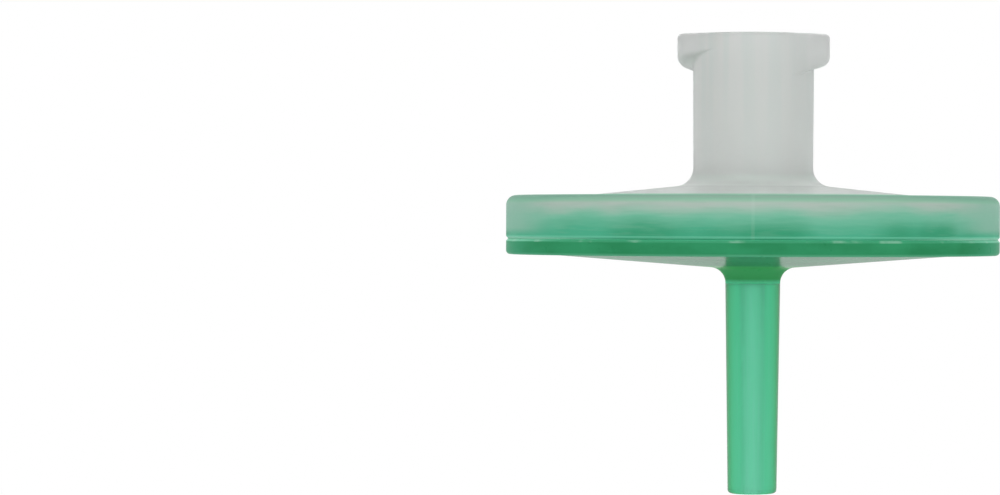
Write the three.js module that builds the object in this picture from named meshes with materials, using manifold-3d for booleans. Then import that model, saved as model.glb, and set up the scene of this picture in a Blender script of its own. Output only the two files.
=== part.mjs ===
// A disposable syringe filter: a natural inlet moulding and a green outlet moulding, welded together
// round the rim with a flat membrane clamped between them.
// Millimetres, +Z up, the lugs of the Luer lock along X. The origin is on the axis at the Luer's mouth, where
// the syringe holds the filter. Each piece is drawn with its heights counted from the end of the outlet tube,
// and the finished group is lowered into place.

import * as THREE from 'three';
import { mergeVertices } from 'three/addons/utils/BufferGeometryUtils.js';
import Module from 'manifold-3d';

const wasm = await Module();
wasm.setup();

// ---- Driving dimensions ----

// Heights, from the end of the outlet tube upwards
const outletLength = 12.2; // tube end to the underside of the rim
const flangeThickness = 0.8;
const skirtHeight = 2.2;
const luerHeight = 8.25; // top of the disc to the Luer's mouth

// The disc
const discDiameter = 25.2;
const skirtWall = 1.3;
const skirtEdgeRadius = 0.5;
const flangeEdgeRadius = 0.2;
const seamGrooveDepth = 0.1;
const seamGrooveHalfHeight = 0.12;

// The collar that stands inside the skirt
const collarHeight = 1.35;
const collarWall = 1.4;
const collarClearance = 0.05; // to the skirt and to the groove's roof

// The membrane, its seat and its clamp
const membraneThickness = 0.15;
const membraneEdgeGap = 0.5; // to the collar, all round when it lies centred
const membraneShift = [0.32, 0.27]; // how far it lies off centre
const seatHeight = 0.35; // above the seam
const spigotClearance = 0.05;
const spigotStep = 0.35; // from the clamp ring's foot up to the spigot's
const clampInset = 0.95; // from the spigot's side in to the clamp ring
const clampRingWidth = 0.8;

// Support ribs, alike on both sides of the membrane
const ribPitch = 0.65;
const ribWidth = 0.3; // at the root
const ribTipWidth = 0.22;
const innermostRibRadius = 2.7;
const channelCount = 8;
const channelWidth = 0.85;
const channelTurn = THREE.MathUtils.degToRad(4); // of the first channel, from the lugs' line
const inletRibGap = 0.2; // between the upper ribs and the membrane
const ribRootDepth = 0.1; // sunk into the wall that carries the rib

// Cones and walls
const upperConeRadius = 8.6;
const upperConeRise = 0.58;
const lowerConeRadius = 10.7;
const lowerConeDrop = 0.7;
const plateWall = 1.2;
const funnelWall = 0.85;

// The female Luer lock
const luerMouthBodyDiameter = 6.2;
const luerRootBodyDiameter = 6.12;
const luerRootFillet = 0.95;
const luerRimRadius = 0.12;
const socketMouthDiameter = 4.3;
const socketTaper = 0.06; // of the diameter, over the length
const socketDepth = 7.9;
const socketFloorFillet = 0.3;
const socketLeadIn = 0.1;
const inletHoleDiameter = 1.5;

// The lugs, two parts of a right-hand thread
const lugSpan = 7.8;
const lugTipWidth = 2.4;
const lugDepth = 1.5; // at the middle of the tip
const lugLead = 5;
const lugTopEdge = 0.2;
const lugFootEdge = 0.35;

// The outlet tube
const tubeEndDiameter = 2.5;
const tubeRootDiameter = 2.83;
const tubeRootFillet = 0.8;
const tubeEndEdge = 0.2;
const boreEndDiameter = 0.8;
const boreRootDiameter = 1;
const boreMouthFlare = 0.5; // where the funnel drains into the bore

// Fineness
const turns = 40; // sides of each turned surface
const arcSteps = 3;
const planeTolerance = 1e-6; // a corner this near the plane between the lugs lies on it

// ---- Sizes that follow ----

const seamHeight = outletLength + flangeThickness;
const discTop = seamHeight + skirtHeight;
const luerTop = discTop + luerHeight;
const discRadius = discDiameter / 2;

const skirtInnerRadius = discRadius - skirtWall;
const collarOuterRadius = skirtInnerRadius - collarClearance;
const collarInnerRadius = collarOuterRadius - collarWall;
const collarTop = seamHeight + collarHeight;

const seatTop = seamHeight + seatHeight;
const membraneTop = seatTop + membraneThickness;
const membraneRadius = collarInnerRadius - membraneEdgeGap;

const spigotRadius = collarInnerRadius - spigotClearance;
const clampOuterRadius = spigotRadius - clampInset;
const clampInnerRadius = clampOuterRadius - clampRingWidth;

const luerMouthRadius = luerMouthBodyDiameter / 2;
const luerRootRadius = luerRootBodyDiameter / 2;
const tubeRootRadius = tubeRootDiameter / 2;

/** Height of the inlet side's outer cone at a radius. */
function upperConeAt(radius) {
  const rise = upperConeRise / (upperConeRadius - luerRootRadius);
  return discTop + rise * (upperConeRadius - radius);
}

/** Height of the outlet side's outer cone at a radius. */
function lowerConeAt(radius) {
  const drop = lowerConeDrop / (lowerConeRadius - tubeRootRadius);
  return outletLength - drop * (lowerConeRadius - radius);
}

/** The ceiling over the membrane, and the funnel floor under it. */
const ceilingAt = (radius) => upperConeAt(radius) - plateWall;
const funnelFloorAt = (radius) => lowerConeAt(radius) + funnelWall;

// ---- Shapes ----

/**
 * A closed outline from corners [x, y] or [x, y, fillet]. A fillet becomes an arc that touches both sides.
 */
function roundedOutline(corners) {
  const points = [];
  corners.forEach(([x, y, fillet = 0], i) => {
    const corner = new THREE.Vector2(x, y);
    if (fillet === 0) {
      points.push(corner);
      return;
    }
    const [bx, by] = corners.at(i - 1);
    const [ax, ay] = corners[(i + 1) % corners.length];
    const back = new THREE.Vector2(bx, by).sub(corner).normalize();
    const ahead = new THREE.Vector2(ax, ay).sub(corner).normalize();
    const halfAngle = Math.acos(THREE.MathUtils.clamp(back.dot(ahead), -1, 1)) / 2;
    const middle = back.clone().add(ahead).normalize();
    const centre = corner.clone().addScaledVector(middle, fillet / Math.sin(halfAngle));
    const start = corner.clone().addScaledVector(back, fillet / Math.tan(halfAngle)).sub(centre);
    const sweep = Math.PI - 2 * halfAngle;
    const way = Math.sign(back.cross(ahead));
    for (let step = 0; step <= arcSteps; step++) {
      const turned = start.clone().rotateAround(new THREE.Vector2(), -way * sweep * (step / arcSteps));
      points.push(turned.add(centre));
    }
  });
  return points;
}

/** A Manifold solid from a closed three.js geometry. */
function solidFrom(geometry) {
  geometry.deleteAttribute('normal');
  geometry.deleteAttribute('uv');
  const merged = mergeVertices(geometry);
  return new wasm.Manifold(new wasm.Mesh({
    numProp: 3,
    vertProperties: new Float32Array(merged.getAttribute('position').array),
    triVerts: new Uint32Array(merged.index.array),
  }));
}

/** The geometry of a section [radius, height, fillet] turned once round Z. */
function turnedGeometry(corners) {
  const points = roundedOutline(corners);
  if (THREE.ShapeUtils.area(points) < 0) points.reverse();
  points.push(points[0].clone());
  return new THREE.LatheGeometry(points, turns).rotateX(Math.PI / 2);
}

const turnedSolid = (corners) => solidFrom(turnedGeometry(corners));

/** A mesh of a solid, under its node's name. */
function namedMesh(name, solid, material) {
  const { vertProperties, triVerts } = solid.getMesh();
  const geometry = new THREE.BufferGeometry();
  geometry.setAttribute('position', new THREE.BufferAttribute(vertProperties, 3));
  geometry.setIndex(new THREE.BufferAttribute(triVerts, 1));
  geometry.computeVertexNormals();
  const mesh = new THREE.Mesh(geometry, material);
  mesh.name = name;
  return mesh;
}

// ---- Support ribs ----

/** Radii of the ribs, stepping in from the clamp ring. */
function ribRadii() {
  const radii = [];
  for (let r = clampInnerRadius - ribPitch; r >= innermostRibRadius; r -= ribPitch) radii.push(r);
  return radii;
}

/** The straight radial channels that break every rib, as one cutter from a height to another. */
function channelCutter(bottom, top) {
  const cutters = [];
  for (let i = 0; i < channelCount / 2; i++) {
    const box = new THREE.BoxGeometry(discDiameter, channelWidth, top - bottom);
    box.translate(0, 0, (top + bottom) / 2);
    box.rotateZ(channelTurn + (i * 2 * Math.PI) / channelCount);
    cutters.push(solidFrom(box));
  }
  return cutters.reduce((all, cutter) => all.add(cutter));
}

/**
 * Concentric ribs from a wall to a level, broken by the channels.
 * rootAt gives the wall's height at a radius; tip is the level of their free edges.
 */
function brokenRibs(rootAt, tip) {
  const heights = [tip];
  const rings = ribRadii().map((radius) => {
    const root = rootAt(radius);
    const sunk = root + Math.sign(root - tip) * ribRootDepth;
    heights.push(sunk);
    return turnedSolid([
      [radius - ribWidth / 2, sunk],
      [radius - ribTipWidth / 2, tip],
      [radius + ribTipWidth / 2, tip],
      [radius + ribWidth / 2, sunk],
    ]);
  });
  const past = 1;
  const cutter = channelCutter(Math.min(...heights) - past, Math.max(...heights) + past);
  return rings.reduce((all, ring) => all.add(ring)).subtract(cutter);
}

// ---- Luer lugs ----

/** Plan of both lugs: four flanks that leave the body as tangents and meet beyond the tips. */
function lugPlan() {
  const tipRadius = lugSpan / 2;
  const tipAngle = Math.asin(lugTipWidth / 2 / tipRadius);
  const tangentAngle = tipAngle + Math.acos(luerMouthRadius / tipRadius);
  const apex = luerMouthRadius / Math.cos(tangentAngle);
  const x = luerMouthRadius * Math.cos(tangentAngle);
  const y = luerMouthRadius * Math.sin(tangentAngle);
  const corners = [[apex, 0], [x, y], [-x, y], [-apex, 0], [-x, -y], [x, -y]];
  return new THREE.Shape(corners.map(([px, py]) => new THREE.Vector2(px, py)));
}

/** The ring that the lugs are parts of. Its underside follows the thread, from the middle of each lug. */
function threadRing() {
  const socketRadius = socketMouthDiameter / 2;
  const insideWall = (socketRadius + luerRootRadius) / 2;
  const foot = luerTop - lugDepth;
  const geometry = turnedGeometry([
    [insideWall, foot],
    [lugSpan / 2, foot, lugFootEdge],
    [lugSpan / 2, luerTop, lugTopEdge],
    [insideWall, luerTop],
  ]);
  const position = geometry.getAttribute('position');
  for (let i = 0; i < position.count; i++) {
    const side = position.getX(i) < -planeTolerance ? -1 : 1;
    const angle = Math.atan2(side * position.getY(i), side * position.getX(i));
    const share = (luerTop - position.getZ(i)) / lugDepth;
    position.setZ(i, position.getZ(i) + (share * lugLead * angle) / (2 * Math.PI));
  }
  return solidFrom(geometry);
}

function luerLugs() {
  const deepest = lugDepth + lugLead;
  const plan = new THREE.ExtrudeGeometry(lugPlan(), { depth: 2 * deepest, bevelEnabled: false });
  plan.translate(0, 0, luerTop - deepest);
  return threadRing().intersect(solidFrom(plan));
}

// ---- The three pieces ----

/** Inlet moulding: Luer socket, cone, plate, skirt, and the spigot and clamp ring underneath. */
function inletShell() {
  const holeRadius = inletHoleDiameter / 2;
  const mouthRadius = socketMouthDiameter / 2;
  const socketFloor = luerTop - socketDepth;
  const floorRadius = mouthRadius - (socketTaper * socketDepth) / 2;
  const grooveRoof = collarTop + collarClearance;
  return turnedSolid([
    [holeRadius, ceilingAt(holeRadius)],
    [holeRadius, socketFloor],
    [floorRadius, socketFloor, socketFloorFillet],
    [mouthRadius, luerTop - socketLeadIn],
    [mouthRadius + socketLeadIn, luerTop],
    [luerMouthRadius, luerTop, luerRimRadius],
    [luerRootRadius, upperConeAt(luerRootRadius), luerRootFillet],
    [upperConeRadius, discTop],
    [discRadius, discTop, skirtEdgeRadius],
    [discRadius, seamHeight + seamGrooveHalfHeight],
    [discRadius - seamGrooveDepth, seamHeight],
    [skirtInnerRadius, seamHeight],
    [skirtInnerRadius, grooveRoof],
    [spigotRadius, grooveRoof],
    [spigotRadius, membraneTop + spigotStep],
    [clampOuterRadius, membraneTop + spigotStep],
    [clampOuterRadius, membraneTop],
    [clampInnerRadius, membraneTop],
    [clampInnerRadius, ceilingAt(clampInnerRadius)],
  ]);
}

function inletHousing() {
  const ribs = brokenRibs(ceilingAt, membraneTop + inletRibGap);
  return inletShell().add(luerLugs()).add(ribs);
}

/** Outlet moulding: flange, collar, membrane seat, funnel floor, cone and tube. */
function outletShell() {
  const boreRootRadius = boreRootDiameter / 2;
  const flareRadius = boreRootRadius + boreMouthFlare;
  return turnedSolid([
    [boreEndDiameter / 2, 0],
    [tubeEndDiameter / 2, 0, tubeEndEdge],
    [tubeRootRadius, lowerConeAt(tubeRootRadius), tubeRootFillet],
    [lowerConeRadius, outletLength],
    [discRadius, outletLength, flangeEdgeRadius],
    [discRadius, seamHeight - seamGrooveHalfHeight],
    [discRadius - seamGrooveDepth, seamHeight],
    [collarOuterRadius, seamHeight],
    [collarOuterRadius, collarTop],
    [collarInnerRadius, collarTop],
    [collarInnerRadius, seatTop],
    [clampInnerRadius, seatTop],
    [clampInnerRadius, funnelFloorAt(clampInnerRadius)],
    [flareRadius, funnelFloorAt(flareRadius)],
    [boreRootRadius, funnelFloorAt(flareRadius) - boreMouthFlare],
  ]);
}

const outletHousing = () => outletShell().add(brokenRibs(funnelFloorAt, seatTop));

/** The membrane: a plain disc, centred on its own axis with its underside at zero. */
function membraneDisc() {
  const disc = new THREE.CylinderGeometry(membraneRadius, membraneRadius, membraneThickness, turns);
  return solidFrom(disc.rotateX(Math.PI / 2).translate(0, 0, membraneThickness / 2));
}

// ---- Materials and assembly ----

const naturalPlastic = new THREE.MeshStandardMaterial({ color: '#c4c6c3', roughness: 0.4, metalness: 0 });
const greenPlastic = new THREE.MeshStandardMaterial({ color: '#3fa877', roughness: 0.35, metalness: 0 });
const membraneWhite = new THREE.MeshStandardMaterial({ color: '#eeeeea', roughness: 0.9, metalness: 0 });

const membrane = namedMesh('filter_membrane', membraneDisc(), membraneWhite);
membrane.position.set(...membraneShift, seatTop);

const syringeFilter = new THREE.Group();
syringeFilter.position.z = -luerTop;
syringeFilter.add(
  namedMesh('inlet_housing', inletHousing(), naturalPlastic),
  membrane,
  namedMesh('outlet_housing', outletHousing(), greenPlastic),
);

export default syringeFilter;
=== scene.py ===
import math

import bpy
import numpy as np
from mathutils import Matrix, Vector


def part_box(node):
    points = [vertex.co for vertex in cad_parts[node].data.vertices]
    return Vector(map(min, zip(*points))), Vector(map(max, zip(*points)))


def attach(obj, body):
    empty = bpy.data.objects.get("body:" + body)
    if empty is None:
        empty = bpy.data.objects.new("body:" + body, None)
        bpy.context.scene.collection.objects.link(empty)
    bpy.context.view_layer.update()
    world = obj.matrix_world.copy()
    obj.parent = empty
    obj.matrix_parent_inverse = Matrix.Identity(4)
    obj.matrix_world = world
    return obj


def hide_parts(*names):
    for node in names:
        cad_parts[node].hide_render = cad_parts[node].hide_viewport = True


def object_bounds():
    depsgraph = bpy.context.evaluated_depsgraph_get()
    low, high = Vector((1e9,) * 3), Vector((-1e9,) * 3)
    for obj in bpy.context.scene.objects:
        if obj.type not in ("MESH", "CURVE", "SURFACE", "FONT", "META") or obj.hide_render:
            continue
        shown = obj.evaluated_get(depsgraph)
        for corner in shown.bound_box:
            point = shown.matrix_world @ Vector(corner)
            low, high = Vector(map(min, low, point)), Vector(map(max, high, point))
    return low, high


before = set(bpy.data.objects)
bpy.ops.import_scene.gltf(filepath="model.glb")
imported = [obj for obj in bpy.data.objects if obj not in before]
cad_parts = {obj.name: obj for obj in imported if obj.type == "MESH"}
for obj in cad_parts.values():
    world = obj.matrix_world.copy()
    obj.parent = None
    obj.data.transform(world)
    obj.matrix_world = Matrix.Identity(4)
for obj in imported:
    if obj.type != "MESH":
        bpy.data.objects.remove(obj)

# A disposable syringe filter: a natural, milky inlet moulding and a green outlet moulding, welded round
# the rim with a white membrane clamped between them. Each piece is one closed, smooth mesh, turned
# section by section round the filter's axis. Lengths are in millimetres until a mesh is made.

MM = 0.001
frame_low, frame_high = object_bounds()

# ---- Sizes taken from the frame ----

inlet_low, inlet_high = (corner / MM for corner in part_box("inlet_housing"))
outlet_low, outlet_high = (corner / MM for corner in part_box("outlet_housing"))
membrane_low, membrane_high = (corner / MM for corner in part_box("filter_membrane"))

DISC_RADIUS = inlet_high.x
MOUTH = inlet_high.z
SEAM = inlet_low.z
TUBE_END = outlet_low.z
COLLAR_TOP = outlet_high.z
SEAT_TOP = membrane_low.z
MEMBRANE_TOP = membrane_high.z
MEMBRANE_RADIUS = (membrane_high.x - membrane_low.x) / 2
MEMBRANE_CENTRE = (membrane_low + membrane_high) / 2

# ---- Sizes of the mouldings ----

FLANGE_THICKNESS = 0.8
SKIRT_HEIGHT = 2.2
SKIRT_WALL = 1.3
SKIRT_EDGE = 0.5
FLANGE_EDGE = 0.2
GROOVE_DEPTH = 0.1
GROOVE_HALF_HEIGHT = 0.12
GROOVE_LIP = 0.03
GROOVE_BOTTOM = 0.02

COLLAR_WALL = 1.4
COLLAR_CLEARANCE = 0.05
SPIGOT_CLEARANCE = 0.05
SPIGOT_STEP = 0.35
CLAMP_INSET = 0.95
CLAMP_RING_WIDTH = 0.8

RIB_PITCH = 0.65
RIB_WIDTH = 0.3
RIB_TIP_WIDTH = 0.22
RIB_TIP_EDGE = 0.07
RIB_TIP_BEND = 0.03
INNERMOST_RIB = 2.7
INLET_RIB_GAP = 0.2
CHANNELS = 8
CHANNEL_WIDTH = 0.85
CHANNEL_TURN = math.radians(4)

UPPER_CONE_RADIUS = 8.6
UPPER_CONE_RISE = 0.58
LOWER_CONE_RADIUS = 10.7
LOWER_CONE_DROP = 0.7
CONE_FILLET = 0.6
PLATE_WALL = 1.2
FUNNEL_WALL = 0.85

LUER_MOUTH_RADIUS = 3.1
LUER_ROOT_RADIUS = 3.06
LUER_ROOT_FILLET = 0.95
LUER_RIM_EDGE = 0.12
SOCKET_RADIUS = 2.15
SOCKET_TAPER = 0.03
SOCKET_DEPTH = 7.9
SOCKET_FLOOR_FILLET = 0.3
SOCKET_LEAD_IN = 0.1
INLET_HOLE_RADIUS = 0.75

LUG_RADIUS = 3.9
LUG_TIP_WIDTH = 2.4
LUG_TIP_SOFTNESS = 0.12
LUG_DEPTH = 1.5
LUG_LEAD = 5
LUG_END = math.radians(56)
LUG_TOP_EDGE = 0.2
LUG_FOOT_EDGE = 0.35
LUG_FOOT_DRAFT = 0.03
LUG_WEB = 0.2

TUBE_END_RADIUS = 1.25
TUBE_ROOT_RADIUS = 1.415
TUBE_ROOT_FILLET = 0.8
TUBE_END_EDGE = 0.2
BORE_END_RADIUS = 0.4
BORE_ROOT_RADIUS = 0.5
BORE_ROOT_LENGTH = 1
BORE_ROOT_TAPER = 0.01
BORE_TIP_LENGTH = 0.3
BORE_FLARE = 0.5
DRAIN_FILLET = 0.3
DRAIN_MARGIN = 0.5

MEMBRANE_UNDER_EDGE = 0.04
MEMBRANE_TOP_EDGE = 0.05
MEMBRANE_MIDDLE = 0.02

SMALL_EDGE = 0.08
PARTING_WIDTH = 0.14
COLUMNS = 384

# ---- Heights and radii that follow ----

RIM_UNDERSIDE = SEAM - FLANGE_THICKNESS
DISC_TOP = SEAM + SKIRT_HEIGHT
SKIRT_INSIDE = DISC_RADIUS - SKIRT_WALL
COLLAR_OUTSIDE = SKIRT_INSIDE - COLLAR_CLEARANCE
COLLAR_INSIDE = COLLAR_OUTSIDE - COLLAR_WALL
SPIGOT_RADIUS = COLLAR_INSIDE - SPIGOT_CLEARANCE
CLAMP_OUTSIDE = SPIGOT_RADIUS - CLAMP_INSET
CLAMP_INSIDE = CLAMP_OUTSIDE - CLAMP_RING_WIDTH


def upper_cone(radius):
    """Height of the inlet side's outer cone."""
    width = UPPER_CONE_RADIUS - LUER_ROOT_RADIUS
    return DISC_TOP + UPPER_CONE_RISE * (UPPER_CONE_RADIUS - radius) / width


def lower_cone(radius):
    """Height of the outlet side's outer cone."""
    width = LOWER_CONE_RADIUS - TUBE_ROOT_RADIUS
    return RIM_UNDERSIDE - LOWER_CONE_DROP * (LOWER_CONE_RADIUS - radius) / width


def ceiling(radius):
    """Height of the chamber's roof over the membrane."""
    return upper_cone(radius) - PLATE_WALL


def funnel_floor(radius):
    """Height of the chamber's floor under the membrane."""
    return lower_cone(radius) + FUNNEL_WALL


# ---- Sections ----


def arc_steps(fillet):
    """A wider fillet is made in more steps."""
    return 4 if fillet < 0.15 else 8 if fillet < 0.6 else 16


def rounded(corners):
    """An open outline through corners (radius, height, fillet); each fillet is an arc touching both sides."""
    points = []
    for i, (r, z, fillet) in enumerate(corners):
        corner = np.array((r, z))
        if fillet == 0:
            points.append(corner)
            continue
        back = np.array(corners[i - 1][:2]) - corner
        ahead = np.array(corners[i + 1][:2]) - corner
        back /= np.linalg.norm(back)
        ahead /= np.linalg.norm(ahead)
        half = math.acos(max(-1.0, min(1.0, float(back @ ahead)))) / 2
        middle = (back + ahead) / np.linalg.norm(back + ahead)
        centre = corner + middle * fillet / math.sin(half)
        start = corner + back * fillet / math.tan(half) - centre
        turn = -math.copysign(math.pi - 2 * half, back[0] * ahead[1] - back[1] * ahead[0])
        steps = arc_steps(fillet)
        for step in range(steps + 1):
            a = turn * step / steps
            spin = np.array(((math.cos(a), -math.sin(a)), (math.sin(a), math.cos(a))))
            points.append(centre + spin @ start)
    return points


def smooth_step(low, high, value):
    """0 below low, 1 above high, and an even curve between."""
    t = max(0.0, min(1.0, (value - low) / (high - low)))
    return t * t * (3 - 2 * t)


def rib_radii():
    """Radii of the support ribs, stepping in from the clamp ring."""
    count = int((CLAMP_INSIDE - INNERMOST_RIB) / RIB_PITCH)
    return [CLAMP_INSIDE - RIB_PITCH * (i + 1) for i in range(count)]


def rib_presence(radius, angle):
    """1 along a rib, falling to 0 where a radial channel breaks it."""
    presence = 1.0
    for i in range(CHANNELS // 2):
        across = radius * abs(math.sin(angle - CHANNEL_TURN - i * 2 * math.pi / CHANNELS))
        presence *= smooth_step(CHANNEL_WIDTH / 2, CHANNEL_WIDTH / 2 + SMALL_EDGE, across)
    return presence


def rib_profile():
    """A rib's section from its outer foot to its inner one: offsets from its middle, shares of its height."""
    foot, tip = RIB_WIDTH / 2, RIB_TIP_WIDTH / 2
    outer_half = [
        (foot, 0.0),
        ((foot + tip) / 2, 0.5),
        (tip, 0.88),
        (tip - RIB_TIP_BEND, 0.97),
        (tip - RIB_TIP_EDGE, 1.0),
    ]
    return outer_half + [(-offset, share) for offset, share in reversed(outer_half)]


def ribbed(wall, tip, angle):
    """The ribbed stretch of a wall, ring by ring inwards, with the ribs' free edges at one height."""
    points = []
    for radius in rib_radii():
        presence = rib_presence(radius, angle)
        for offset, share in rib_profile():
            r = radius + offset
            points.append(np.array((r, wall(r) + presence * share * (tip - wall(radius)))))
    return points


# ---- The Luer lugs ----


def lug_phase(angle):
    """Angle from the middle of the nearer lug, within a quarter turn either way."""
    return (angle + math.pi / 2) % math.pi - math.pi / 2


def lug_reach(phase):
    """How far the lug stands out from the Luer's body: a tip with flanks that leave the body as tangents."""
    tip_angle = math.asin(LUG_TIP_WIDTH / 2 / LUG_RADIUS)
    tangent_angle = tip_angle + math.acos(LUER_MOUTH_RADIUS / LUG_RADIUS)
    if abs(phase) >= tangent_angle:
        return 0.0
    flank = LUER_MOUTH_RADIUS / math.cos(tangent_angle - abs(phase))
    gap = (flank - LUG_RADIUS) / LUG_TIP_SOFTNESS
    soft = min(flank, LUG_RADIUS) if abs(gap) > 8 else flank - LUG_TIP_SOFTNESS * math.log1p(math.exp(gap))
    return max(0.0, soft - LUER_MOUTH_RADIUS)


def lug_foot(phase):
    """Height of the lug's underside, a stretch of right-hand thread that levels out past the lug."""
    along = max(-LUG_END, min(LUG_END, phase))
    fade = 1 - smooth_step(LUG_END, math.pi / 2, abs(phase))
    return MOUTH - LUG_DEPTH + LUG_LEAD * along * fade / (2 * math.pi)


def quarter(steps):
    """Along a quarter circle, what is gone of the first way and what is left of the second, from 0 to 1."""
    for step in range(steps + 1):
        a = step / steps * math.pi / 2
        yield 1 - math.cos(a), 1 - math.sin(a)


def luer_head(angle):
    """The Luer's outside from under the lugs up to its rim."""
    phase = lug_phase(angle)
    reach, foot = lug_reach(phase), lug_foot(phase)
    full = LUG_RADIUS - LUER_MOUTH_RADIUS
    web = [(LUG_WEB * gone, foot - LUG_WEB * left) for gone, left in quarter(4)]
    heel = foot + LUG_FOOT_DRAFT
    edge = [(full - LUG_FOOT_EDGE * left, heel + LUG_FOOT_EDGE * gone) for gone, left in quarter(8)]
    under = web + edge
    points = [np.array((luer_body(z) + reach * out / full, z)) for out, z in under]
    side_top = MOUTH - LUG_TOP_EDGE
    highest = under[-1][1]
    for share in (0.33, 0.67):
        z = highest + (side_top - highest) * share
        points.append(np.array((luer_body(z) + reach, z)))
    rim_edge = LUER_RIM_EDGE + (LUG_TOP_EDGE - LUER_RIM_EDGE) * reach / full
    for gone, left in quarter(6):
        z = MOUTH - rim_edge * left
        points.append(np.array((luer_body(z) + reach - rim_edge * gone, z)))
    return points


def luer_body(height):
    """Radius of the Luer's plain outside at a height."""
    root = upper_cone(LUER_ROOT_RADIUS)
    share = (height - root) / (MOUTH - root)
    return LUER_ROOT_RADIUS + (LUER_MOUTH_RADIUS - LUER_ROOT_RADIUS) * share


# ---- Turned pieces ----


def inlet_section(angle):
    """The inlet moulding's section at an angle, from the socket's floor out over the top and back under."""
    socket_floor = MOUTH - SOCKET_DEPTH
    floor_radius = SOCKET_RADIUS - SOCKET_TAPER * SOCKET_DEPTH
    groove_roof = COLLAR_TOP + COLLAR_CLEARANCE
    hole_top = ceiling(INLET_HOLE_RADIUS)
    inside = rounded([
        (INLET_HOLE_RADIUS, hole_top, 0),
        (INLET_HOLE_RADIUS, socket_floor, SMALL_EDGE),
        (floor_radius, socket_floor, SOCKET_FLOOR_FILLET),
        (SOCKET_RADIUS, MOUTH - SOCKET_LEAD_IN, SMALL_EDGE / 2),
        (SOCKET_RADIUS + SOCKET_LEAD_IN, MOUTH, 0),
    ])
    foot = lug_foot(lug_phase(angle)) - LUG_WEB
    outside = rounded([
        (luer_body(foot), foot, 0),
        (LUER_ROOT_RADIUS, upper_cone(LUER_ROOT_RADIUS), LUER_ROOT_FILLET),
        (UPPER_CONE_RADIUS, DISC_TOP, CONE_FILLET),
        (DISC_RADIUS, DISC_TOP, SKIRT_EDGE),
        (DISC_RADIUS, SEAM + GROOVE_HALF_HEIGHT, GROOVE_LIP),
        (DISC_RADIUS - GROOVE_DEPTH, SEAM, GROOVE_BOTTOM),
        (SKIRT_INSIDE, SEAM, SMALL_EDGE),
        (SKIRT_INSIDE, groove_roof, SMALL_EDGE),
        (SPIGOT_RADIUS, groove_roof, SMALL_EDGE),
        (SPIGOT_RADIUS, MEMBRANE_TOP + SPIGOT_STEP, SMALL_EDGE),
        (CLAMP_OUTSIDE, MEMBRANE_TOP + SPIGOT_STEP, SMALL_EDGE),
        (CLAMP_OUTSIDE, MEMBRANE_TOP, SMALL_EDGE),
        (CLAMP_INSIDE, MEMBRANE_TOP, SMALL_EDGE),
        (CLAMP_INSIDE, ceiling(CLAMP_INSIDE), SMALL_EDGE),
        (CLAMP_INSIDE - RIB_WIDTH, ceiling(CLAMP_INSIDE - RIB_WIDTH), 0),
    ])[1:]
    ribs = ribbed(ceiling, MEMBRANE_TOP + INLET_RIB_GAP, angle)
    return inside[:-1] + luer_head(angle)[::-1] + outside + ribs


def outlet_section(angle):
    """The outlet moulding's section at an angle, from the bore's end out round the tube, cone and rim."""
    flare = BORE_ROOT_RADIUS + BORE_FLARE
    outside = rounded([
        (BORE_END_RADIUS, TUBE_END + BORE_TIP_LENGTH, 0),
        (BORE_END_RADIUS, TUBE_END, SMALL_EDGE),
        (TUBE_END_RADIUS, TUBE_END, TUBE_END_EDGE),
        (TUBE_ROOT_RADIUS, lower_cone(TUBE_ROOT_RADIUS), TUBE_ROOT_FILLET),
        (LOWER_CONE_RADIUS, RIM_UNDERSIDE, CONE_FILLET),
        (DISC_RADIUS, RIM_UNDERSIDE, FLANGE_EDGE),
        (DISC_RADIUS, SEAM - GROOVE_HALF_HEIGHT, GROOVE_LIP),
        (DISC_RADIUS - GROOVE_DEPTH, SEAM, GROOVE_BOTTOM),
        (COLLAR_OUTSIDE, SEAM, SMALL_EDGE),
        (COLLAR_OUTSIDE, COLLAR_TOP, SMALL_EDGE),
        (COLLAR_INSIDE, COLLAR_TOP, SMALL_EDGE),
        (COLLAR_INSIDE, SEAT_TOP, SMALL_EDGE),
        (CLAMP_INSIDE, SEAT_TOP, SMALL_EDGE),
        (CLAMP_INSIDE, funnel_floor(CLAMP_INSIDE), SMALL_EDGE),
        (CLAMP_INSIDE - RIB_WIDTH, funnel_floor(CLAMP_INSIDE - RIB_WIDTH), 0),
    ])
    ribs = ribbed(funnel_floor, SEAT_TOP, angle)
    bore_top = funnel_floor(flare) - BORE_FLARE
    drain = rounded([
        (flare + DRAIN_MARGIN, funnel_floor(flare + DRAIN_MARGIN), 0),
        (flare, funnel_floor(flare), DRAIN_FILLET),
        (BORE_ROOT_RADIUS, bore_top, DRAIN_FILLET),
        (BORE_ROOT_RADIUS - BORE_ROOT_TAPER, bore_top - BORE_ROOT_LENGTH, 0),
    ])
    return outside + ribs + drain


def membrane_section(_):
    """The membrane's section, the same at every angle: a thin disc with a die-cut edge."""
    return rounded([
        (MEMBRANE_MIDDLE, SEAT_TOP, 0),
        (MEMBRANE_RADIUS, SEAT_TOP, MEMBRANE_UNDER_EDGE),
        (MEMBRANE_RADIUS, MEMBRANE_TOP, MEMBRANE_TOP_EDGE),
        (MEMBRANE_MIDDLE, MEMBRANE_TOP, 0),
    ])


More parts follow.
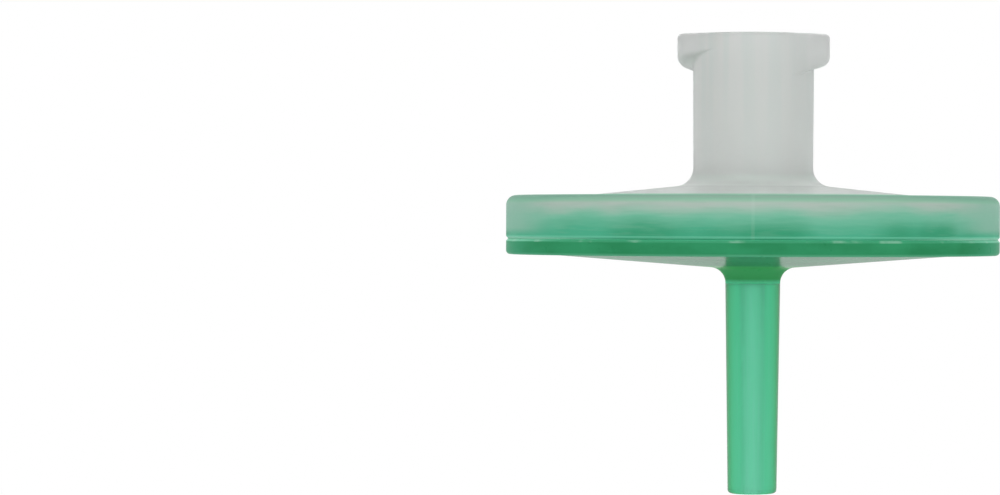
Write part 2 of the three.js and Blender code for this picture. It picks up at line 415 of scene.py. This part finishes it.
def turn(name, section_at, centre=(0.0, 0.0)):
    """A closed mesh from the sections at every column round the axis."""
    angles = np.arange(COLUMNS) * 2 * math.pi / COLUMNS
    sections = np.array([section_at(angle) for angle in angles])
    columns, count, _ = sections.shape
    x = sections[:, :, 0] * np.cos(angles)[:, None] + centre[0]
    y = sections[:, :, 0] * np.sin(angles)[:, None] + centre[1]
    places = np.stack((x, y, sections[:, :, 1]), axis=2).reshape(-1, 3) * MM
    here = np.arange(columns)[:, None] * count + np.arange(count)[None, :]
    nearer = np.roll(here, -1, axis=1)
    beside, beside_nearer = np.roll(here, -1, axis=0), np.roll(nearer, -1, axis=0)
    faces = np.stack((here, nearer, beside_nearer, beside), axis=2).reshape(-1, 4)
    mesh = bpy.data.meshes.new(name)
    mesh.from_pydata(places.tolist(), [], faces.tolist())
    mesh.update()
    piece = bpy.data.objects.new(name, mesh)
    bpy.context.scene.collection.objects.link(piece)
    outward(mesh)
    mesh.polygons.foreach_set("use_smooth", [True] * len(mesh.polygons))
    mesh.set_sharp_from_angle(angle=math.radians(38))
    return piece


def outward(mesh):
    """Turns the faces round if they enclose a negative volume."""
    places = np.empty(len(mesh.vertices) * 3)
    mesh.vertices.foreach_get("co", places)
    places = places.reshape(-1, 3)
    mesh.calc_loop_triangles()
    triangles = np.empty(len(mesh.loop_triangles) * 3, dtype=np.int32)
    mesh.loop_triangles.foreach_get("vertices", triangles)
    a, b, c = (places[triangles.reshape(-1, 3)[:, i]] for i in range(3))
    if np.einsum("ij,ij->i", a, np.cross(b, c)).sum() < 0:
        mesh.flip_normals()


inlet = turn("inlet_moulding", inlet_section)
outlet = turn("outlet_moulding", outlet_section)
membrane = turn("membrane_disc", membrane_section, MEMBRANE_CENTRE[:2])

for piece, node, slot in (
    (inlet, "inlet_housing", "natural_plastic"),
    (outlet, "outlet_housing", "green_plastic"),
    (membrane, "filter_membrane", "membrane"),
):
    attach(piece, "root")
    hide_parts(node)

# ---- Materials ----


class Wire:
    """A socket that takes part in arithmetic: each operation adds a Math node to the socket's own tree."""

    def __init__(self, socket):
        self.socket = socket

    def maths(self, operation, *values):
        return add(self.socket.id_data, "ShaderNodeMath", {"operation": operation}, dict(enumerate(values)))

    def __add__(self, other):
        return self.maths("ADD", self, other)

    def __sub__(self, other):
        return self.maths("SUBTRACT", self, other)

    def __rsub__(self, other):
        return self.maths("SUBTRACT", other, self)

    def __mul__(self, other):
        return self.maths("MULTIPLY", self, other)

    def __truediv__(self, other):
        return self.maths("DIVIDE", self, other)

    __radd__ = __add__
    __rmul__ = __mul__

    def of(self, operation, *others):
        """Another operation of the Math node, with this value first."""
        return self.maths(operation, self, *others)

    def ramp(self, low, high):
        """0 below low, 1 above high, and an even curve between."""
        values = {"Value": self, "From Min": low, "From Max": high}
        return add(self.socket.id_data, "ShaderNodeMapRange", {"interpolation_type": "SMOOTHSTEP"}, values)

    def band(self, low, high, soft):
        """1 between low and high, falling to 0 over a soft edge outside them."""
        return self.ramp(low - soft, low) * (1 - self.ramp(high, high + soft))


def add(tree, kind, settings=None, values=None, output=0):
    """Adds a node, sets its own settings first and then its sockets, and returns one output as a Wire."""
    node = tree.nodes.new(kind)
    for name, setting in (settings or {}).items():
        setattr(node, name, setting)
    for name, value in (values or {}).items():
        if isinstance(value, Wire):
            tree.links.new(value.socket, node.inputs[name])
        else:
            node.inputs[name].default_value = value
    return Wire(node.outputs[output])


def linear(*shade):
    """A colour given as the eye reads it, 0 to 255, in the shader's own linear light."""
    parts = [value / 255 for value in shade]
    return tuple(c / 12.92 if c <= 0.04045 else ((c + 0.055) / 1.055) ** 2.4 for c in parts) + (1.0,)


def new_material(name):
    """A material with an empty node tree, and its output node."""
    material = bpy.data.materials.new(name)
    material.use_nodes = True
    tree = material.node_tree
    tree.nodes.clear()
    return material, tree, tree.nodes.new("ShaderNodeOutputMaterial")


class Spot:
    """Where a point of a piece lies, in millimetres: x, y, its height z and its distance from the axis."""

    def __init__(self, tree):
        self.tree = tree
        place = add(tree, "ShaderNodeTexCoord", output="Object")
        parts = add(tree, "ShaderNodeSeparateXYZ", None, {"Vector": place}).socket.node
        self.x, self.y, self.z = (Wire(parts.outputs[name]) * (1 / MM) for name in ("X", "Y", "Z"))
        self.radius = (self.x * self.x + self.y * self.y).of("SQRT")

    def downward(self):
        """How far the surface looks down: -1 facing up, 1 facing down."""
        facing = add(self.tree, "ShaderNodeTexCoord", output="Normal")
        parts = add(self.tree, "ShaderNodeSeparateXYZ", None, {"Vector": facing}).socket.node
        return 0.0 - Wire(parts.outputs["Z"])

    def aslant(self, low, high):
        """0 where the surface is seen head on, and 1 where it is seen along its face."""
        return add(self.tree, "ShaderNodeLayerWeight", None, {"Blend": 0.5}, output="Facing").ramp(low, high)

    def noise(self, scale, detail, upright=1.0, roughness=0.5):
        """Soft noise from 0 to 1: scale features to the millimetre, and upright times as many in height."""
        vector = add(self.tree, "ShaderNodeCombineXYZ", None, {
            "X": self.x,
            "Y": self.y,
            "Z": self.z * upright,
        })
        values = {"Vector": vector, "Scale": scale, "Detail": detail, "Roughness": roughness}
        return add(self.tree, "ShaderNodeTexNoise", None, values)

    def streaks(self, count, seed, upright=0.06):
        """Noise that runs with the flow in a moulded wall: along it, or round it where upright is large."""
        vector = add(self.tree, "ShaderNodeCombineXYZ", None, {
            "X": self.x / self.radius * count,
            "Y": self.y / self.radius * count,
            "Z": self.z * upright + seed,
        })
        return add(self.tree, "ShaderNodeTexNoise", None, {"Vector": vector, "Scale": 1.0, "Detail": 3.0})


def blend(tree, share, first, second):
    """A colour between two."""
    return add(tree, "ShaderNodeMix", {"data_type": "RGBA"}, {0: share, 6: first, 7: second}, output=2)


def coats(tree, shade, *layers):
    """A shade with layers laid over it in turn, each given as its share and its colour."""
    for share, colour in layers:
        shade = blend(tree, share, shade, colour)
    return shade


def grain(tree, height, distance):
    """A normal from a height between 0 and 1 that stands for a relief of some thousandths of a millimetre."""
    return add(tree, "ShaderNodeBump", None, {"Height": height, "Strength": 1.0, "Distance": distance * MM})


def plastic(tree, shade, roughness, gloss, passing, normal, index=1.49):
    """Polypropylene's surface: gloss is how strongly it mirrors, passing the share of light it lets in."""
    return add(tree, "ShaderNodeBsdfPrincipled", None, {
        "Base Color": shade,
        "Roughness": roughness,
        "IOR": index,
        "Specular IOR Level": gloss,
        "Transmission Weight": passing,
        "Normal": normal,
    })


def mould(tree, end, share, first, second, tint, density):
    """Ends a plastic: its surface is mixed from two, and its depth takes on a tint."""
    surface = add(tree, "ShaderNodeMixShader", None, {0: share, 1: first, 2: second})
    depth = add(tree, "ShaderNodeVolumeAbsorption", None, {"Color": tint, "Density": density})
    tree.links.new(surface.socket, end.inputs["Surface"])
    tree.links.new(depth.socket, end.inputs["Volume"])


def rim_side(spot):
    """The disc's side, on both mouldings, without the tops and undersides."""
    return spot.radius.ramp(DISC_RADIUS - 0.3, DISC_RADIUS - 0.2)


def weld_flecks(spot):
    """Short pale dashes where the weld has frosted the lower lip of the seam."""
    dashes = spot.streaks(7.0, 5.0, 0.0).ramp(0.48, 0.6) * spot.noise(1.0, 3.0, 2.0).ramp(0.4, 0.6)
    return dashes * spot.z.band(SEAM - 0.12, SEAM - 0.03, 0.04) * rim_side(spot)


def parting_line(spot):
    """The line the two halves of the mould leave, at the front and the back, outside the Luer, painted as a
    faint light line that stands for the highlight on its ridge.
    """
    line = 1 - spot.x.of("ABSOLUTE").ramp(PARTING_WIDTH * 0.3, PARTING_WIDTH * 0.9)
    return line * spot.radius.ramp(LUER_MOUTH_RADIUS - 0.1, LUER_MOUTH_RADIUS + 0.1)


def milk(spot):
    """The natural plastic's shade: streaked and clouded, with painted light on the Luer's lower part, the
    lugs, the faces that look down, and the chamber and socket.
    """
    z, radius = spot.z, spot.radius
    flow = spot.streaks(5.0, 3.0).ramp(0.36, 0.66)
    warm = spot.noise(0.35, 3.0).ramp(0.5, 0.75)
    low = 1 - z.ramp(DISC_TOP, MOUTH)
    lugs = radius.ramp(LUER_MOUTH_RADIUS + 0.1, LUER_MOUTH_RADIUS + 0.3) * z.ramp(MOUTH - 3, MOUTH - 2.5)
    underside = spot.downward().ramp(0.1, 0.9)
    chamber = 1 - z.ramp(DISC_TOP - 0.5, DISC_TOP - 0.3)
    socket = 1 - radius.ramp(SOCKET_RADIUS + 0.1, SOCKET_RADIUS + 0.2)
    return coats(
        spot.tree,
        blend(spot.tree, flow, linear(228, 233, 231), linear(236, 236, 235)),
        (warm * 0.3, linear(236, 236, 227)),
        # Painted light: the next coats lift the lower part of the piece, the lugs, the downward faces, the
        # chamber and the socket against the shade that falls on them.
        (low * 0.8, linear(253, 254, 253)),
        (lugs * 0.8, linear(252, 252, 252)),
        (underside * 0.8, linear(250, 251, 250)),
        (chamber.of("MAXIMUM", socket) * 0.8, linear(248, 249, 248)),
    )


def collar_glow(spot, shade, skirt, aslant):
    """The collar behind the skirt, with an uneven upper edge: pale green first, and deeper lower down."""
    z = spot.z
    uneven = (spot.noise(0.16, 2.0, 2.0) - 0.5) * 1.3 + (spot.noise(0.5, 4.0, 6.0) - 0.5) * 0.5
    depth = DISC_TOP - z + uneven
    patches = spot.noise(0.22, 2.0).ramp(0.4, 0.6)
    deepest = blend(spot.tree, patches, linear(62, 166, 124), linear(80, 184, 146))
    flow = spot.streaks(7.0, 21.0, 6.0)
    # Seen aslant, the skirt hides the collar behind more plastic, so the shades come together there.
    middle = z.ramp(SEAM + 0.15, SEAM + 0.6) * (1 - z.ramp(DISC_TOP - 0.4, DISC_TOP - 0.1))
    # Where seen aslant, the groove is painted light, lifting the shade that falls in it.
    groove = 1 - z.ramp(SEAM + 0.08, SEAM + 0.16)
    return coats(
        spot.tree,
        shade,
        (skirt, linear(184, 200, 190)),
        (depth.ramp(0.3, 1.25) * skirt, linear(124, 200, 170)),
        (depth.ramp(0.95, 2.0) * skirt, deepest),
        (flow.ramp(0.48, 0.7) * skirt * 0.08, linear(176, 212, 196)),
        ((1 - flow.ramp(0.32, 0.5)) * skirt * 0.1, linear(88, 172, 136)),
        (aslant * middle * 0.82, linear(148, 197, 176)),
        (aslant * groove * 0.8, linear(176, 236, 212)),
    )


def top_rings(spot, shade, collar, outer, top, aslant):
    """The collar and rim under the top: a deep ring, a paler one outside it, and the weld between them."""
    edge = spot.radius.ramp(DISC_RADIUS - 0.55, DISC_RADIUS - 0.2) * top
    weld = spot.radius.band(COLLAR_OUTSIDE + 0.02, COLLAR_OUTSIDE + 0.08, 0.05)
    bead = weld * spot.noise(3.0, 3.0).ramp(0.45, 0.6)
    return coats(
        spot.tree,
        shade,
        (collar * top * 0.95, linear(72, 210, 140)),
        (outer * top * 0.9, linear(136, 205, 174)),
        (edge * 0.9, linear(152, 175, 163)),
        (edge * aslant * 0.7, linear(108, 172, 146)),
        (bead * top * 0.5, linear(205, 240, 225)),
    )


def rib_rings(spot):
    """1 over a rib, 0 between two of them and over the channels that break them."""
    turns = (CLAMP_INSIDE - spot.radius) * (2 * math.pi / RIB_PITCH)
    angle = spot.y.of("ARCTAN2", spot.x) - CHANNEL_TURN
    from_channel = (angle * (CHANNELS / 2)).of("SINE").of("ABSOLUTE") * spot.radius
    ribbed_part = spot.radius.band(INNERMOST_RIB, CLAMP_INSIDE, 0.2)
    return turns.of("COSINE").ramp(0.0, 0.9) * from_channel.ramp(1.2, 2.2) * ribbed_part


def chamber_glow(spot, shade, collar, plate, outside_ribs):
    """What shows through the plate: the membrane with its ribs, and round them the clamp ring's two edges.
    Over the clamp ring, painted light lifts the shade of the recess under the plate, tinted green.
    """
    inner_edge = spot.radius.band(CLAMP_INSIDE - 0.05, CLAMP_INSIDE + 0.05, 0.1)
    outer_edge = spot.radius.band(CLAMP_OUTSIDE - 0.05, CLAMP_OUTSIDE + 0.05, 0.1)
    return coats(
        spot.tree,
        shade,
        (plate * (1 - collar) * 0.35, linear(236, 253, 243)),
        (plate * rib_rings(spot) * 0.4, linear(238, 241, 239)),
        # Painted light with a green tint over the clamp ring, in place of the shaded recess seen through the
        # plate.
        (outside_ribs * 0.85, linear(182, 216, 198)),
        (inner_edge.of("MAXIMUM", outer_edge) * plate * 0.4, linear(140, 208, 176)),
    )


def natural_plastic():
    """Milky, half clear polypropylene. The green collar shows through the skirt and round the top."""
    material, tree, end = new_material("natural_plastic")
    spot = Spot(tree)
    z, radius = spot.z, spot.radius
    skirt = radius.ramp(DISC_RADIUS - 0.6, DISC_RADIUS - 0.1)
    aslant = spot.aslant(0.34, 0.7) * skirt
    collar = radius.ramp(COLLAR_INSIDE - 0.15, COLLAR_INSIDE + 0.15)
    outer = radius.ramp(COLLAR_OUTSIDE - 0.08, COLLAR_OUTSIDE + 0.08)
    top = z.ramp(DISC_TOP - 0.45, DISC_TOP - 0.02)
    plate = z.ramp(DISC_TOP - 0.3, DISC_TOP - 0.1) * (1 - z.ramp(DISC_TOP + 0.9, DISC_TOP + 1.2))
    outside_ribs = radius.ramp(CLAMP_INSIDE - 0.6, CLAMP_INSIDE + 0.1) * (1 - collar) * plate
    # A painted highlight along the skirt's lip just above the seam groove.
    upper_lip_highlight = (z - SEAM).band(0.08, 0.15, 0.04) * rim_side(spot)

    shade = milk(spot)
    shade = collar_glow(spot, shade, skirt, aslant)
    shade = top_rings(spot, shade, collar, outer, top, aslant)
    shade = chamber_glow(spot, shade, collar, plate, outside_ribs)
    shade = coats(
        tree,
        shade,
        (upper_lip_highlight * 0.55, linear(120, 216, 180)),
        (parting_line(spot) * 0.06, linear(225, 245, 236)),
    )

    fine = grain(tree, spot.noise(9.0, 3.0), 0.004)
    rough = 0.14 * spot.noise(2.5, 3.0)
    clear = plastic(tree, shade, 0.33 + rough, gloss=0.08, passing=0.65, normal=fine)
    milky = plastic(tree, shade, 0.36 + rough, gloss=0.004, passing=0.2, normal=fine)
    milky_part = skirt.of("MAXIMUM", outer * top)
    for backed in (outside_ribs * 0.8, plate * 0.1):
        milky_part = milky_part.of("MAXIMUM", backed)
    mould(tree, end, milky_part, clear, milky, tint=(0.35, 0.85, 0.7, 1.0), density=2.0)
    return material


def disc_green(spot, flow):
    """The green of the disc: mottled, lighter at the tube's root with painted shade down its fillet, painted
    light on the collar, and painted highlights and light along the rim's edges.
    """
    z, tree = spot.z, spot.tree
    mottle = spot.noise(0.3, 4.0, 3.0).ramp(0.35, 0.7)
    under_disc = z.ramp(RIM_UNDERSIDE - 0.8, RIM_UNDERSIDE - 0.5)
    over_tube = z.ramp(RIM_UNDERSIDE - 1.46, RIM_UNDERSIDE - 1.2)
    # Painted shade on the fillet at the tube's root, darker lower down where the fillet faces more light, and
    # paler just above the tube to meet its colour.
    root = blend(tree, under_disc, linear(64, 161, 96), linear(77, 199, 108))
    root = blend(tree, over_tube, linear(100, 218, 168), root)
    side = rim_side(spot)
    lip = z.ramp(SEAM - 0.17, SEAM - 0.08) * side
    foot = (1 - z.ramp(RIM_UNDERSIDE + 0.02, RIM_UNDERSIDE + 0.16)) * side
    aslant = spot.aslant(0.45, 0.8) * side
    return coats(
        tree,
        blend(tree, mottle, linear(44, 134, 87), linear(52, 147, 100)),
        (flow.ramp(0.5, 0.7) * 0.25, linear(58, 158, 108)),
        (1 - spot.radius.ramp(2.0, 4.0), root),
        # Painted light on the green above the seam, the collar, which is seen only through the natural
        # moulding.
        (z.ramp(SEAM - 0.05, SEAM), linear(90, 220, 165)),
        # Painted highlights along rounded edges: the lip under the seam groove and the flange's bottom edge.
        (lip * 0.4, linear(90, 185, 145)),
        (foot * 0.4, linear(120, 205, 165)),
        # Painted light where the rim's side is seen edge-on, and more on the lip under the groove, lifting
        # the shade that falls there.
        (aslant * 0.7, linear(64, 160, 120)),
        (aslant * z.ramp(SEAM - 0.16, SEAM - 0.08) * 0.8, linear(140, 222, 188)),
        (weld_flecks(spot) * 0.4, linear(175, 218, 198)),
    )


def green_plastic():
    """Green polypropylene: full-bodied in the disc, and clear enough in the tube to show its bore."""
    material, tree, end = new_material("green_plastic")
    spot = Spot(tree)
    z, radius = spot.z, spot.radius
    flow = spot.streaks(9.0, 8.0, 0.3)
    rough = spot.noise(2.0, 3.0)
    relief = grain(tree, spot.noise(8.0, 3.0), 0.003)
    body = plastic(tree, disc_green(spot, flow), 0.24 + 0.1 * rough, gloss=0.003, passing=0.05, normal=relief)

    tube = 1 - z.ramp(RIM_UNDERSIDE - 1.5, RIM_UNDERSIDE - 1.44)
    bore = 1 - radius.ramp(BORE_ROOT_RADIUS + 0.05, BORE_ROOT_RADIUS + 0.3)
    clear = coats(
        tree,
        blend(tree, flow.ramp(0.4, 0.7), linear(226, 252, 244), linear(240, 255, 254)),
        (spot.aslant(0.1, 0.65) * tube, linear(96, 213, 152)),
        (bore, linear(250, 253, 252)),
    )
    blur = 0.13 + 0.05 * rough + 0.18 * tube + 0.1 * bore
    thin = plastic(tree, clear, blur, gloss=0.02, passing=0.96, normal=grain(tree, flow, 0.0006), index=1.35)

    cone = (1 - z.ramp(RIM_UNDERSIDE - 0.03, RIM_UNDERSIDE - 0.01)) * radius.ramp(1.7, 2.2) * 0.36
    mould(tree, end, tube.of("MAXIMUM", cone), body, thin, tint=(0.2, 0.82, 0.63, 1.0), density=1350.0)
    return material


def membrane_white():
    """The membrane: matt, felted white."""
    material, tree, end = new_material("membrane_white")
    spot = Spot(tree)
    felt = spot.noise(14.0, 5.0, 1.0, 0.7)
    shader = add(tree, "ShaderNodeBsdfPrincipled", None, {
        "Base Color": blend(tree, felt.ramp(0.35, 0.65), linear(228, 228, 224), linear(243, 243, 241)),
        "Roughness": 0.85 + 0.1 * felt,
        "Normal": grain(tree, felt, 0.02),
    })
    tree.links.new(shader.socket, end.inputs["Surface"])
    return material


inlet.data.materials.append(natural_plastic())
outlet.data.materials.append(green_plastic())
membrane.data.materials.append(membrane_white())

# ---- Floor, backdrop and light ----


def white_surroundings(tree):
    """1 for the rays that should find plain white: the camera's, reflected ones and those through plastic."""
    path = tree.nodes.new("ShaderNodeLightPath")
    rays = [Wire(path.outputs[name]) for name in ("Is Camera Ray", "Is Glossy Ray", "Is Transmission Ray")]
    return add(tree, "ShaderNodeClamp", None, {"Value": rays[0] + rays[1] + rays[2]})


def floor_white():
    """Matt white that keeps the filter's shadow under it and passes into the plain white farther off."""
    material, tree, end = new_material("floor_white")
    away = Spot(tree).radius.ramp(40, 220)
    matt = add(tree, "ShaderNodeBsdfDiffuse", None, {"Color": (0.9, 0.9, 0.9, 1.0)})
    white = add(tree, "ShaderNodeEmission", None, {"Color": (1.0, 1.0, 1.0, 1.0), "Strength": 1.0})
    share = white_surroundings(tree) * (0.3 + 0.7 * away)
    mixed = add(tree, "ShaderNodeMixShader", None, {0: share, 1: matt, 2: white})
    tree.links.new(mixed.socket, end.inputs["Surface"])
    return material


def make_floor():
    """The floor lies well below the filter, which a syringe holds up."""
    level = frame_low.z - 0.015
    half = 1.5
    mesh = bpy.data.meshes.new("floor")
    corners = [(-half, -half, level), (half, -half, level), (half, half, level), (-half, half, level)]
    mesh.from_pydata(corners, [], [(0, 1, 2, 3)])
    floor = bpy.data.objects.new("floor", mesh)
    bpy.context.scene.collection.objects.link(floor)
    mesh.materials.append(floor_white())


def light_world():
    world = bpy.data.worlds.new("studio")
    bpy.context.scene.world = world
    world.use_nodes = True
    tree = world.node_tree
    tree.nodes.clear()
    end = tree.nodes.new("ShaderNodeOutputWorld")
    ambient = 0.85
    strength = ambient + (1 - ambient) * white_surroundings(tree)
    sky = add(tree, "ShaderNodeBackground", None, {"Color": (1.0, 1.0, 1.0, 1.0), "Strength": strength})
    tree.links.new(sky.socket, end.inputs["Surface"])


def add_lamp(name, place, size, power):
    """A square soft lamp aimed at the middle of the filter."""
    lamp = bpy.data.lights.new(name, "AREA")
    lamp.shape = "SQUARE"
    lamp.size = size
    lamp.energy = power
    holder = bpy.data.objects.new(name, lamp)
    holder.location = place
    aim = (frame_low + frame_high) / 2 - Vector(place)
    holder.rotation_mode = "QUATERNION"
    holder.rotation_quaternion = aim.to_track_quat("-Z", "Y")
    bpy.context.scene.collection.objects.link(holder)


def make_camera():
    """Level with the seam, in front of the filter's axis, with the filter in the right half of the frame."""
    distance = 0.19
    height = (TUBE_END + 13.82) * MM
    aim_height = (TUBE_END + 12.57) * MM
    view_width = 0.05115
    roll = math.radians(-0.22)
    lens = bpy.data.cameras.new("camera")
    lens.sensor_width = 36
    lens.lens = lens.sensor_width * distance / view_width
    lens.shift_x = -0.253
    lens.clip_start, lens.clip_end = 0.01, 10
    camera = bpy.data.objects.new("camera", lens)
    camera.location = (0, -distance, height)
    camera.rotation_euler = (math.pi / 2 - math.atan2(height - aim_height, distance), roll, 0)
    bpy.context.scene.collection.objects.link(camera)
    bpy.context.scene.camera = camera


bpy.context.scene.view_settings.view_transform = "Standard"
make_floor()
light_world()
add_lamp("key_lamp", (-0.2, -0.4, 0.6), 0.4, 1.1)
add_lamp("fill_lamp", (0.45, -0.4, 0.1), 0.5, 0.4)
make_camera()
